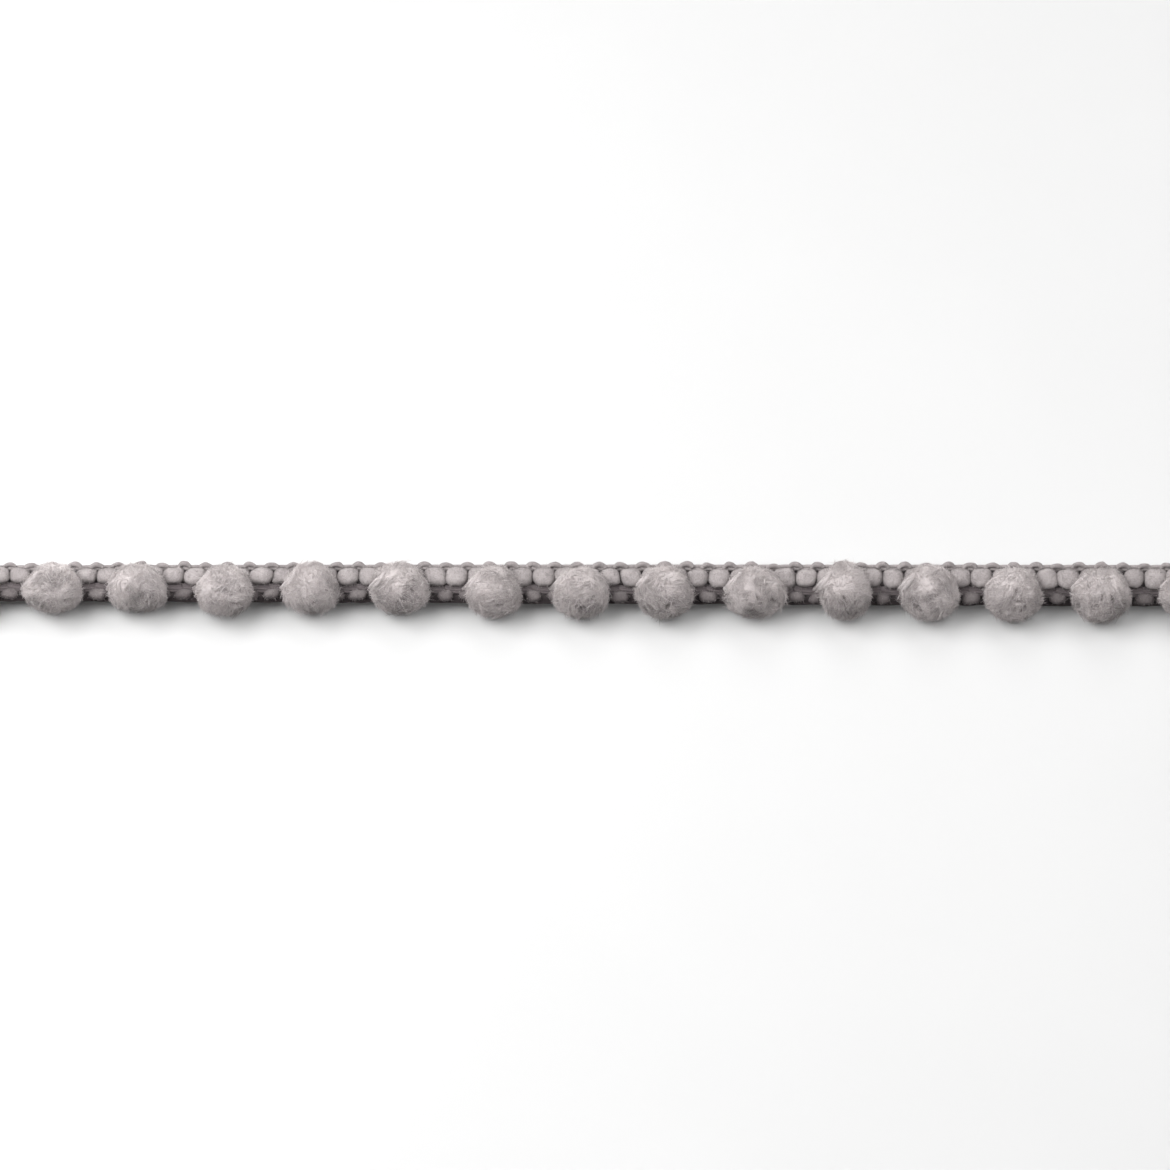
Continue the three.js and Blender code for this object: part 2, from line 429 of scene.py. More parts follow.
class NodeSheet:
    """A material's nodes, made and joined in a few words."""

    NOISE_ROUGHNESS = 0.6

    def __init__(self, name: str) -> None:
        """Starts an empty material.

        Args:
            name: The material's name.
        """
        self.material = bpy.data.materials.new(name)
        self.material.use_nodes = True
        self.tree = self.material.node_tree
        self.tree.nodes.clear()
        self.shader = self.add("ShaderNodeBsdfPrincipled")
        output = self.add("ShaderNodeOutputMaterial")
        self.join(self.shader.outputs["BSDF"], output.inputs["Surface"])

    def add(self, kind: str, **settings: object) -> bpy.types.Node:
        """Adds a node.

        Args:
            kind: Its type.
            **settings: Its properties, by name.

        Returns:
            The new node.
        """
        node = self.tree.nodes.new(kind)
        for key, value in settings.items():
            setattr(node, key, value)
        return node

    def join(self, source: bpy.types.NodeSocket, target: bpy.types.NodeSocket) -> None:
        """Joins an output to an input."""
        self.tree.links.new(source, target)

    def noise(self, per_mm: float, detail: float, swirl: float = 0.0) -> bpy.types.NodeSocket:
        """A noise in the object's own space.

        Args:
            per_mm: How many hills there are in a millimetre.
            detail: How many finer layers are added.
            swirl: How far the hills are drawn out into curls.

        Returns:
            Its value, from 0 to 1.
        """
        place = self.add("ShaderNodeTexCoord")
        noise = self.add("ShaderNodeTexNoise")
        noise.inputs["Scale"].default_value = per_mm / MM
        noise.inputs["Detail"].default_value = detail
        noise.inputs["Roughness"].default_value = self.NOISE_ROUGHNESS
        noise.inputs["Distortion"].default_value = swirl
        self.join(place.outputs["Object"], noise.inputs["Vector"])
        return noise.outputs["Fac"]

    def ramp(self, value: bpy.types.NodeSocket, stops: list[tuple[float, Colour]]) -> bpy.types.NodeSocket:
        """Turns a value into a colour.

        Args:
            value: The value to read.
            stops: Values and their colours, in order.

        Returns:
            The colour.
        """
        ramp = self.add("ShaderNodeValToRGB")
        elements = ramp.color_ramp.elements
        while len(elements) < len(stops):
            elements.new(0.5)
        for element, (place, colour) in zip(elements, stops):
            element.position = place
            element.color = (*colour, 1.0)
        self.join(value, ramp.inputs["Fac"])
        return ramp.outputs["Color"]

    def blend(self, mode: str, share: float, first: bpy.types.NodeSocket,
              second: bpy.types.NodeSocket) -> bpy.types.NodeSocket:
        """Mixes two colours.

        Args:
            mode: How they are mixed.
            share: How much of the second is mixed in.
            first: The colour below.
            second: The colour on top.

        Returns:
            The mixed colour.
        """
        mix = self.add("ShaderNodeMix", data_type="RGBA", blend_type=mode)
        mix.inputs["Factor"].default_value = share
        self.join(first, mix.inputs["A"])
        self.join(second, mix.inputs["B"])
        return mix.outputs["Result"]

    def bump(self, height: bpy.types.NodeSocket, distance: float, strength: float) -> None:
        """Adds fine relief to the shader.

        Args:
            height: The relief, from 0 to 1.
            distance: Its height in millimetres.
            strength: How strongly it shows.
        """
        bump = self.add("ShaderNodeBump")
        bump.inputs["Strength"].default_value = strength
        bump.inputs["Distance"].default_value = distance * MM
        self.join(height, bump.inputs["Height"])
        self.join(bump.outputs["Normal"], self.shader.inputs["Normal"])


@dataclass(frozen=True)
class WoolFinish:
    """Matt wool in one warm grey, a little lighter and darker in patches, with painted shade and light.

    deep, middle and tip: its colour in the depth of the pile, halfway out and at a fibre's tip, read
    from the painted shade and light that each point carries: deep is painted shade, as in the pile's
    depth, its creases and the cloth's hollows, and tip is painted light. Mottle, curls and flecks darken
    it in patches, from coarse to fine. per_mm: how many there are in a millimetre. share: how strongly
    they show. dark and light: what they multiply the colour by. relief: the height of the flecks in
    millimetres.
    """

    name: str
    deep: Colour
    middle: Colour
    tip: Colour
    mottle_per_mm: float
    mottle_share: float
    curl_per_mm: float
    curl_share: float
    fleck_per_mm: float
    relief: float
    sheen: float
    fleck_share: float = 0.35
    relief_share: float = 0.7
    roughness: float = 0.95
    shine: float = 0.15
    sheen_roughness: float = 0.55
    sheen_tint: Colour = (1.0, 0.97, 0.95)
    dark: Colour = (0.66, 0.65, 0.65)
    light: Colour = (1.0, 0.99, 0.98)

    def material(self) -> bpy.types.Material:
        """Makes the material.

        Returns:
            A material that reads each point's painted shade and light, from the pile's depth out.
        """
        sheet = NodeSheet(self.name)
        # Each point's painted shade and light, with some random tone, picks its colour from deep to tip.
        depth = sheet.add("ShaderNodeAttribute", attribute_name="pile_tone_and_painted_shade", attribute_type="GEOMETRY")
        colour = sheet.ramp(depth.outputs["Fac"], [(0.0, self.deep), (0.5, self.middle), (1.0, self.tip)])
        mottle = sheet.noise(self.mottle_per_mm, detail=3.0)
        curls = sheet.noise(self.curl_per_mm, detail=3.0, swirl=3.0)
        flecks = sheet.noise(self.fleck_per_mm, detail=2.0)
        patterns = (
            (mottle, 0.3, 0.7, self.mottle_share),
            (curls, 0.35, 0.6, self.curl_share),
            (flecks, 0.35, 0.65, self.fleck_share),
        )
        for pattern, low, high, share in patterns:
            shades = sheet.ramp(pattern, [(low, self.dark), (high, self.light)])
            colour = sheet.blend("MULTIPLY", share, colour, shades)
        sheet.join(colour, sheet.shader.inputs["Base Color"])
        sheet.shader.inputs["Roughness"].default_value = self.roughness
        sheet.shader.inputs["Specular IOR Level"].default_value = self.shine
        sheet.shader.inputs["Sheen Weight"].default_value = self.sheen
        sheet.shader.inputs["Sheen Roughness"].default_value = self.sheen_roughness
        sheet.shader.inputs["Sheen Tint"].default_value = (*self.sheen_tint, 1.0)
        sheet.bump(flecks, self.relief, self.relief_share)
        return sheet.material


@dataclass(frozen=True)
class SurfaceFinish:
    """The pale matt surface that the trim lies on, very slightly lighter in wide patches."""

    name: str = "pale_surface"
    colour: Colour = (0.6, 0.6, 0.6)
    patch_gain: float = 1.01
    patches_per_mm: float = 0.02
    roughness: float = 0.9
    shine: float = 0.1

    def material(self) -> bpy.types.Material:
        """Makes the material.

        Returns:
            The surface's material.
        """
        sheet = NodeSheet(self.name)
        patch = tuple(channel * self.patch_gain for channel in self.colour)
        shade = sheet.ramp(sheet.noise(self.patches_per_mm, detail=2.0), [(0.4, self.colour), (0.6, patch)])
        sheet.join(shade, sheet.shader.inputs["Base Color"])
        sheet.shader.inputs["Roughness"].default_value = self.roughness
        sheet.shader.inputs["Specular IOR Level"].default_value = self.shine
        return sheet.material


# The deep colours are the painted shade of the pile's depth, creases and hollows, and the tip colours its
# painted light.
YARN = WoolFinish(
    name="heading_yarn", deep=(0.09, 0.076, 0.08), middle=(0.27, 0.247, 0.248), tip=(0.43, 0.398, 0.4),
    mottle_per_mm=0.8, mottle_share=0.6, curl_per_mm=1.2, curl_share=0.6, fleck_per_mm=6.0,
    relief=0.06, sheen=0.15,
)
# A darker copy of the yarn's colours: painted shade for the thin chains in the groove and the back layer
# behind the chains.
CHAIN_IN_PAINTED_SHADE = WoolFinish(
    name="binding_yarn_in_painted_shade", deep=(0.035, 0.028, 0.03), middle=(0.19, 0.166, 0.172), tip=(0.3, 0.27, 0.276),
    mottle_per_mm=0.5, mottle_share=0.5, curl_per_mm=1.6, curl_share=0.3, fleck_per_mm=7.0,
    relief=0.04, sheen=0.1,
)
PILE = WoolFinish(
    name="pompom_pile", deep=(0.2, 0.179, 0.18), middle=(0.54, 0.497, 0.5), tip=(0.68, 0.634, 0.636),
    mottle_per_mm=0.33, mottle_share=0.5, curl_per_mm=0.45, curl_share=0.4, fleck_per_mm=7.0,
    relief=0.03, sheen=0.8,
)


# ---------------------------------------------------------------------------------------------------
# The heading
# ---------------------------------------------------------------------------------------------------


@dataclass(frozen=True)
class HeadingCloth:
    """The slightly twisted plane in which the heading lies, held up by the pompoms along its lower chain.

    middle: the trim's middle line across it. chain_down: looped edge to the middle of the lower chain,
    along the cloth. chain_height: that chain above the surface. chain_left and chain_right: its place off
    the middle line at the two ends. rise_left and rise_right: by how many degrees the cloth rises from it
    to the looped edge there.
    """

    length: float
    middle: float
    chain_down: float = 5.15
    chain_height: float = 3.1
    chain_left: float = 0.55
    chain_right: float = -0.5
    rise_left: float = 3.0
    rise_right: float = 27.0

    def share(self, x: Place) -> Place:
        """How far along the trim some places are, from 0 at its left end to 1 at its right one."""
        return x / self.length + 0.5

    def rise(self, x: Place) -> Place:
        """The cloth's rise at some places along the trim, in radians."""
        return np.radians(self.rise_left + (self.rise_right - self.rise_left) * self.share(x))

    def chain(self, x: Place) -> Place:
        """The lower chain's place across the trim, at some places along it."""
        return self.middle + self.chain_left + (self.chain_right - self.chain_left) * self.share(x)

    def point(self, x: Place, down: Place, out: Place) -> Array:
        """Points of the heading.

        Args:
            x: Place along the trim.
            down: Distance from the looped edge, along the cloth.
            out: Distance out from the middle of the yarn.

        Returns:
            The points, along a new last axis.
        """
        x, down, out = np.broadcast_arrays(x, down, out)
        rise, back = self.rise(x), self.chain_down - down
        y = self.chain(x) + back * np.cos(rise) - out * np.sin(rise)
        z = self.chain_height + back * np.sin(rise) + out * np.cos(rise)
        return np.stack([x, y, z], axis=-1)

    def out_direction(self, x: Array) -> Array:
        """The direction out of the heading's face at some places along the trim."""
        rise = self.rise(np.asarray(x, float))
        return np.stack([np.zeros_like(rise), -np.sin(rise), np.cos(rise)], axis=-1)

    def down_direction(self, x: Array) -> Array:
        """The direction down the cloth at some places along the trim."""
        rise = self.rise(np.asarray(x, float))
        return np.stack([np.zeros_like(rise), -np.cos(rise), -np.sin(rise)], axis=-1)


@dataclass(frozen=True)
class StitchSize:
    """The size of one chain's full stitches, and how uneven they are.

    wide and deep: half of the width and of the depth. top and bottom: how far down the cloth a stitch
    starts and ends, at the left end. grow: how much further down it ends at the right one. out: how far
    out its middle line lies. place_spread, wide_spread and edge_spread: the usual differences in place,
    width and ends. steps and sides: how many sections it has, and how many sides a section has.
    """

    wide: float
    deep: float
    top: float
    bottom: float
    grow: float
    out: float
    place_spread: float
    wide_spread: float
    edge_spread: float
    steps: int
    sides: int


PAD = StitchSize(
    wide=1.62, deep=0.85, top=1.0, bottom=3.32, grow=0.65, out=0.15,
    place_spread=0.04, wide_spread=0.06, edge_spread=0.09, steps=16, sides=20,
)
BLOCK = StitchSize(
    wide=1.24, deep=0.6, top=3.9, bottom=5.45, grow=0.75, out=-0.35,
    place_spread=0.06, wide_spread=0.1, edge_spread=0.08, steps=14, sides=18,
)


@dataclass
class Heading:
    """The crocheted heading, stitch by stitch.

    pad and block: the full stitches of the upper and the lower chain. A stitch's end is end_wide of its
    width and end_deep of its depth, and roundness says how late it narrows. groove_lines: how far down
    and out each thin chain in the groove lies. hollow: how far out the deepest painted shade in the
    cloth's hollows ends and the lightest colour starts. lumps: the yarn's unevenness, as its height, its
    wavelength and the offset for each axis. The loop_, chain_ and back_ values are the sizes of the edge
    loops, the thin chains and the back layer. loop_thick and chain_thick are half of the yarn's thickness,
    and back_thick is the whole layer's. loop_tip is the loops' fixed level of painted shade and light, and
    back_tip the back layer's at its top; back_shade: how far down its painted shade starts and where it is
    deepest. nap_counts: how many loose fibres the upper and the lower chain have. nap_root and nap_tip:
    the painted shade at a fibre's root and the lighter one at its tip.
    """

    cloth: HeadingCloth
    stitches: int
    seed: int = 11
    pad: StitchSize = PAD
    block: StitchSize = BLOCK
    end_wide: float = 0.3
    end_deep: float = 0.25
    roundness: float = 2.8
    squareness: float = 2.25
    sway: float = 0.1
    out_spread: float = 0.07
    deep_spread: float = 0.04
    hollow: Span = (-0.3, 1.1)
    lumps: tuple[tuple[float, float, float], ...] = ((0.14, 1.3, 17.0), (0.06, 0.5, -23.0))
    loop_thick: float = 0.4
    loop_foot: float = 0.95
    loop_rise: float = 0.5
    loop_span: float = 0.55
    loop_out: float = 0.25
    loop_bulge: float = 0.2
    loop_taper: float = 0.2
    loop_rise_spread: float = 0.07
    loop_out_spread: float = 0.04
    loop_steps: int = 17
    loop_sides: int = 10
    loop_tip: float = 0.75
    groove_lines: tuple[tuple[float, float], ...] = ((3.35, -0.35), (3.65, -0.3), (3.95, -0.45))
    chain_thick: float = 0.24
    chain_reach: float = 0.56
    chain_wide: float = 0.2
    chain_lift: float = 0.1
    chain_steps: int = 13
    chain_sides: int = 6
    back_top: float = 0.9
    back_bottom: float = 5.8
    back_grow: float = 0.6
    back_out: float = -0.75
    back_thick: float = 0.24
    back_reach: float = 0.499
    back_waver: float = 0.1
    back_steps: int = 6
    back_sides: int = 16
    back_squareness: float = 8.0
    back_tip: float = 0.5
    back_shade: Span = (3.0, 4.8)
    nap_counts: tuple[int, int] = (9000, 5500)
    nap_length: float = 0.5
    nap_thick: float = 0.07
    nap_root: float = 0.4
    nap_tip: float = 0.85

    def __post_init__(self) -> None:
        """Works out the stitch and starts the heading's own source of unevenness."""
        self.stitch = self.cloth.length / self.stitches
        self.rng = np.random.default_rng(self.seed)
        self.noise = SoftNoise(self.seed)

    def joints(self) -> Array:
        """The places of the joints between the upper chain's stitches, both ends included."""
        return (np.arange(self.stitches + 1) - self.stitches / 2.0) * self.stitch

    def build(self) -> list[bpy.types.Object]:
        """Builds and dresses the heading's pieces.

        Returns:
            The upper chain, the lower chain, the binding and the nap.
        """
        upper = Batch("heading_upper_chain")
        self.add_pads(upper)
        self.add_edge_loops(upper)
        # The edge line gets a fixed level near the light end of the painted shade scale.
        self.add_binding(upper, down=0.9, grow=0.0, out=0.0, thick=0.3, tip=0.8)
        lower = Batch("heading_lower_chain")
        self.add_blocks(lower)
        binding = Batch("heading_binding")
        self.add_back(binding)
        # The groove's thin chains take the darker binding colours, as painted shade.
        for down, out in self.groove_lines:
            self.add_binding(binding, down=down, grow=self.pad.grow, out=out, thick=self.chain_thick, tip=0.4)
        nap = Batch("heading_nap")
        for chain, count in zip((upper, lower), self.nap_counts):
            self.add_nap(nap, (chain.points[0], chain.faces[0]), count)
        pieces = [upper.build(), lower.build(), binding.build(), nap.build()]
        for piece, finish in zip(pieces, (YARN, YARN, CHAIN_IN_PAINTED_SHADE, YARN)):
            piece.data.materials.append(finish.material())
            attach(piece, BODY)
            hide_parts("heading")
        return pieces

    def uneven(self, count: int, amount: float) -> Array:
        """Small differences from one stitch to the next.

        Args:
            count: How many stitches there are.
            amount: The usual size of a difference.

        Returns:
            One difference for each stitch.
        """
        return self.rng.normal(0.0, amount, count).clip(-2.0 * amount, 2.0 * amount)

    def add_column(self, batch: Batch, size: StitchSize, middle: Array, half: Array, top: Array,
                   bottom: Array) -> None:
        """Adds the full stitches of one chain, each a short plump length of thick yarn down the cloth.

        Args:
            batch: The mesh that they join.
            size: Their size. Its depth, its place out of the cloth and its sections are read here.
            middle: The place of each along the trim.
            half: Half of the width of each.
            top: How far down each starts.
            bottom: How far down each ends.
        """
        share = (1.0 - np.cos(math.pi * np.linspace(0.0, 1.0, size.steps))) / 2.0
        rounding = np.clip(1.0 - np.abs(2.0 * share - 1.0) ** self.roundness, 0.0, 1.0) ** 0.5
        down = top[:, None] + (bottom - top)[:, None] * share
        sway = self.uneven(len(middle), self.sway)[:, None] * np.cos(math.pi * share)
        x = middle[:, None] + sway
        paths = self.cloth.point(x, down, size.out + self.uneven(len(middle), self.out_spread)[:, None])
        across = np.zeros_like(paths)
        across[..., 0] = 1.0
        outward = self.cloth.out_direction(x)
        wide = half[:, None] * (self.end_wide + (1.0 - self.end_wide) * rounding)
        deep = (size.deep + self.uneven(len(middle), self.deep_spread))[:, None]
        deep = deep * (self.end_deep + (1.0 - self.end_deep) * rounding)
        # Painted shade: the stitches darken towards the cloth's hollows.
        for shape in yarn_shells(paths, across, outward, wide, deep, size.sides, self.squareness):
            batch.add(self.roughened(shape), tone_and_painted_shade=self.recess(shape[0]))

    def yarn_direction(self, points: Array) -> Array:
        """The direction in which the yarn runs at some points: down the cloth."""
        return self.cloth.down_direction(points[:, 0])

    def roughened(self, shape: Shape) -> Shape:
        """The same yarn a little lumpy, as soft yarn is, and kept above the surface.

        Args:
            shape: The yarn's points and faces.

        Returns:
            The moved points and the same faces.
        """
        moved = shape[0].copy()
        for axis, (height, wavelength, offset) in product(range(3), self.lumps):
            moved[:, axis] += height * self.noise.at(shape[0] + offset * axis, wavelength)
        return above_surface((moved, shape[1]))

    def recess(self, points: Array) -> Array:
        """How far out of the cloth's hollows some points are, used as painted shade, darkest in the hollows.

        Args:
            points: Points of the heading.

        Returns:
            One value for each point, from 0 in the hollows to 1.
        """
        x = points[:, 0]
        away = points - self.cloth.point(x, self.cloth.chain_down, 0.0)
        return smoothstep(np.einsum("nc,nc->n", away, self.cloth.out_direction(x)), *self.hollow)

    def add_pads(self, batch: Batch) -> None:
        """Adds the upper chain's stitches, one between each two joints.

        Args:
            batch: The mesh that they join.
        """
        pad, count, joints = self.pad, self.stitches, self.joints()
        middle = (joints[1:] + joints[:-1]) / 2.0 + self.uneven(count, pad.place_spread)
        half = pad.wide + self.uneven(count, pad.wide_spread)
        top = pad.top + self.uneven(count, pad.edge_spread)
        bottom = pad.bottom + pad.grow * self.cloth.share(middle) + self.uneven(count, pad.edge_spread)
        self.add_column(batch, pad, middle, half, top, bottom)

    def add_blocks(self, batch: Batch) -> None:
        """Adds the lower chain's stitches, half a stitch along, with a half one at each end.

        Args:
            batch: The mesh that they join.
        """
        block, middle = self.block, self.joints()
        half = block.wide + self.uneven(len(middle), block.wide_spread)
        half[[0, -1]] = block.wide / 2.0
        middle[0] += half[0]
        middle[-1] -= half[-1]
        middle[1:-1] += self.uneven(len(middle) - 2, block.place_spread)
        lower = block.grow * self.cloth.share(middle)
        top = block.top + lower + self.uneven(len(middle), block.edge_spread)
        bottom = block.bottom + lower + self.uneven(len(middle), block.edge_spread)
        self.add_column(batch, block, middle, half, top, bottom)

    def add_edge_loops(self, batch: Batch) -> None:
        """Adds the loops along the free edge, each an arch over a joint of the upper chain.

        Args:
            batch: The mesh that they join.
        """
        joints = self.joints()[1:-1]
        share = np.linspace(0.0, 1.0, self.loop_steps)
        arch = np.sin(math.pi * share)
        x = joints[:, None] + (share - 0.5) * self.stitch * self.loop_span
        rise = self.loop_rise + self.uneven(len(joints), self.loop_rise_spread)
        down = self.loop_foot - rise[:, None] * arch**0.5
        out = self.loop_out + self.loop_bulge * arch + self.uneven(len(joints), self.loop_out_spread)[:, None]
        paths = self.cloth.point(x, down, out)
        along = unit(np.gradient(paths, axis=1))
        across = unit(np.cross(along, self.cloth.out_direction(x)))
        thick = np.full(x.shape, self.loop_thick) * (1.0 - self.loop_taper + self.loop_taper * arch)
        for shape in yarn_shells(paths, across, np.cross(across, along), thick, thick, self.loop_sides):
            # The loops get one fixed level of painted shade and light, lighter than the hollows.
            batch.add(self.roughened(shape), tone_and_painted_shade=np.full(len(shape[0]), self.loop_tip))

    def add_back(self, batch: Batch) -> None:
        """Adds the yarn's back layer, which lies flat behind both chains, with painted shade lower down.

        Args:
            batch: The mesh that it joins.
        """
        steps = self.back_steps * self.stitches
        x = np.linspace(-self.back_reach, self.back_reach, steps) * self.cloth.length
        bottom = self.back_bottom + self.back_grow * self.cloth.share(x)
        paths = self.cloth.point(x, (self.back_top + bottom) / 2.0, self.back_out)[None]
        wide = ((bottom - self.back_top) / 2.0 + self.back_waver * self.noise.at(paths[0], 1.5))[None]
        deep = np.full(paths.shape[:2], self.back_thick / 2.0)
        across, outward = self.cloth.down_direction(x)[None], self.cloth.out_direction(x)[None]
        for shape in yarn_shells(paths, across, outward, wide, deep, self.back_sides, self.back_squareness):
            # Painted shade: the layer darkens further down the cloth, under the heading's lower edge.
            away = shape[0] - self.cloth.point(shape[0][:, 0], 0.0, 0.0)
            down = np.einsum("nc,nc->n", away, self.yarn_direction(shape[0]))
            batch.add(above_surface(shape), tone_and_painted_shade=self.back_tip * (1.0 - smoothstep(down, *self.back_shade)))

    def add_binding(self, batch: Batch, down: float, grow: float, out: float, thick: float,
                    tip: float) -> None:
        """Adds one line of thin chain stitches, each link a narrow loop that starts in the last one.

        Args:
            batch: The mesh that they join.
            down: How far down the cloth the line runs at the left end.
            grow: How much further down it runs at the right end.
            out: How far out it lies.
            thick: Half of the yarn's thickness.
            tip: How light the yarn is, as Batch.add takes it.
        """
        joints = self.joints()[:-1]
        turn = 2.0 * math.pi * np.linspace(0.0, 1.0, self.chain_steps)
        x = joints[:, None] + self.stitch * (0.5 - self.chain_reach * np.cos(turn))
        down = down + grow * self.cloth.share(joints)[:, None]
        across = self.chain_wide * np.sin(turn) * (1.2 - 0.4 * np.cos(turn))
        paths = self.cloth.point(x, down + across, out + self.chain_lift * np.cos(turn))
        along = unit(np.gradient(paths, axis=1))
        side = unit(np.cross(along, self.cloth.out_direction(x)))
        half = np.full(x.shape, thick)
        for shape in yarn_shells(paths, side, np.cross(side, along), half, half, self.chain_sides):
            batch.add(above_surface(shape), tone_and_painted_shade=np.full(len(shape[0]), tip))

    def add_nap(self, batch: Batch, shape: Shape, count: int) -> None:
        """Adds the yarn's short loose fibres.

        Args:
            batch: The mesh that they join.
            shape: The sides of the stitches that they grow on.
            count: How many there are.
        """
        fibres = nap_on(shape, count, Lay.LEANING, self.yarn_direction,
                        self.nap_length, self.nap_thick, self.rng)
        # Painted shade at each fibre's root, painted light at its tip.
        tone_and_painted_shade = spike_tips(np.full(count, self.nap_root), np.full(count, self.nap_tip))
        batch.add(above_surface(fibres), smooth=False, tone_and_painted_shade=tone_and_painted_shade)


# ---------------------------------------------------------------------------------------------------
# The pompoms
# ---------------------------------------------------------------------------------------------------


@dataclass(frozen=True)
class Cleft:
    """A crease in the front of a pompom's pile, as seen square on.

    x and y: its middle, in shares of the way from the pompom's middle to its edge. angle: its direction
    there, in degrees anticlockwise from +X. length: its length, in the same shares. bend: how many degrees
    it turns from end to end. deep: its depth in millimetres.
    """

    x: float
    y: float
    angle: float
    length: float
    bend: float
    deep: float

    def line(self, steps: int = 15) -> tuple[Array, Array]:
        """The points along the cleft's bottom.

        Args:
            steps: How many points there are.

        Returns:
            The points, in shares, and how deep the cleft is at each, from 0 at its ends to 1.
        """
        share = np.linspace(-0.5, 0.5, steps)
        angle = np.radians(self.angle + self.bend * share)
        stride = np.stack([np.cos(angle), np.sin(angle)], axis=-1) * self.length / (steps - 1)
        place = np.cumsum(stride, axis=0)
        return place - place[steps // 2] + np.array([self.x, self.y]), np.cos(math.pi * share) ** 1.5


@dataclass(frozen=True)
class PompomSize:
    """One pompom's place and size, and the creases in its pile.

    shift: off its even place along the trim. back: off the lower chain's line, towards the looped edge.
    wide and deep: size along and across the trim. tuft and reach: a lock that sticks out, its angle
    anticlockwise from +X and how far.
    """

    shift: float
    back: float
    wide: float
    deep: float
    tuft: float
    reach: float
    clefts: tuple[Cleft, ...]


POMPOMS = (
    PompomSize(0.1, -0.2, 8.6, 8.4, 200, 0.2, (
        Cleft(0.3, -0.35, 20, 0.5, 60, 0.3),
        Cleft(-0.1, 0.1, -10, 0.6, -40, 0.15),
    )),
    PompomSize(0.0, 0.1, 8.7, 8.4, 175, 0.3, (
        Cleft(0.48, -0.39, 5, 0.4, 20, 0.35),
        Cleft(-0.1, 0.15, 10, 0.5, 20, 0.2),
        Cleft(0.1, 0.42, 0, 1.0, -60, 0.15),
    )),
    PompomSize(-0.3, 0.3, 8.7, 8.1, 160, 0.3, (
        Cleft(0.18, -0.17, 80, 0.35, 40, 0.35),
        Cleft(0.5, -0.25, 60, 0.35, 50, 0.3),
        Cleft(-0.3, 0.0, 95, 0.4, 30, 0.2),
    )),
    PompomSize(-0.4, -0.1, 8.4, 8.7, 250, 0.2, (
        Cleft(0.2, 0.1, -20, 0.7, 30, 0.3),
        Cleft(0.35, -0.4, 10, 0.5, -40, 0.35),
        Cleft(0.6, 0.2, -60, 0.5, 20, 0.3),
    )),
    PompomSize(-0.5, 0.4, 8.4, 8.3, 235, 0.2, (
        Cleft(0.16, -0.53, 5, 0.65, 35, 0.35),
        Cleft(0.1, 0.15, 120, 0.9, 200, 0.2),
        Cleft(-0.45, -0.2, 110, 0.4, 40, 0.15),
    )),
    PompomSize(-0.4, 0.4, 8.9, 8.6, 95, 0.5, (
        Cleft(0.4, 0.1, -15, 0.55, 20, 0.35),
        Cleft(-0.07, -0.46, 10, 0.5, 60, 0.4),
        Cleft(0.2, -0.25, 60, 0.4, 50, 0.3),
    )),
    PompomSize(0.7, -0.1, 8.4, 8.0, 205, 0.2, (
        Cleft(0.17, -0.48, 15, 0.55, 70, 0.3),
        Cleft(0.45, 0.0, 85, 0.5, 30, 0.2),
        Cleft(-0.5, -0.1, 100, 0.35, 20, 0.15),
    )),
    PompomSize(0.6, -0.2, 8.3, 8.1, 300, 0.2, (
        Cleft(0.0, -0.55, 0, 0.6, 50, 0.3),
        Cleft(0.3, 0.3, 70, 0.35, 30, 0.15),
        Cleft(0.35, -0.2, 50, 0.4, 60, 0.2),
    )),
    PompomSize(0.0, -0.1, 8.6, 8.7, 265, 0.4, (
        Cleft(0.18, -0.42, 40, 0.55, -50, 0.45),
        Cleft(-0.45, -0.6, -42, 0.9, 20, 0.35),
        Cleft(-0.1, 0.2, 15, 0.8, 30, 0.2),
    )),
    PompomSize(0.5, 0.0, 9.2, 8.1, 215, 0.2, (
        Cleft(0.15, -0.2, -65, 1.0, -60, 0.45),
        Cleft(0.6, -0.25, 0, 0.5, 20, 0.35),
        Cleft(-0.3, 0.0, 60, 0.7, -60, 0.3),
    )),
    PompomSize(0.9, 0.3, 8.1, 9.4, 240, 0.3, (
        Cleft(0.2, -0.38, 0, 0.9, 110, 0.4),
        Cleft(0.2, 0.45, 0, 0.9, -110, 0.25),
        Cleft(-0.1, -0.05, 100, 0.5, 60, 0.3),
    )),
    PompomSize(0.4, 0.1, 9.0, 8.6, 255, 0.6, (
        Cleft(-0.35, -0.5, -40, 0.7, -20, 0.5),
        Cleft(0.1, -0.1, 25, 0.6, -30, 0.3),
        Cleft(0.4, -0.3, 100, 0.5, -70, 0.25),
    )),
    PompomSize(0.0, -0.2, 8.7, 8.1, 245, 0.4, (
        Cleft(0.35, -0.5, 35, 0.6, 40, 0.4),
        Cleft(0.07, 0.22, 85, 0.25, 10, 0.3),
        Cleft(0.2, -0.2, -30, 0.5, 60, 0.3),
    )),
    PompomSize(0.0, -0.1, 9.0, 8.6, 285, 0.3, (
        Cleft(0.0, 0.0, 70, 0.4, 30, 0.4),
        Cleft(-0.22, -0.39, 20, 0.5, 70, 0.4),
        Cleft(0.4, -0.1, 100, 0.5, 40, 0.3),
    )),
    PompomSize(0.1, 0.1, 8.7, 8.4, 190, 0.2, (
        Cleft(0.25, -0.4, 10, 0.5, 50, 0.3),
        Cleft(0.0, 0.05, 80, 0.4, 40, 0.25),
    )),
)


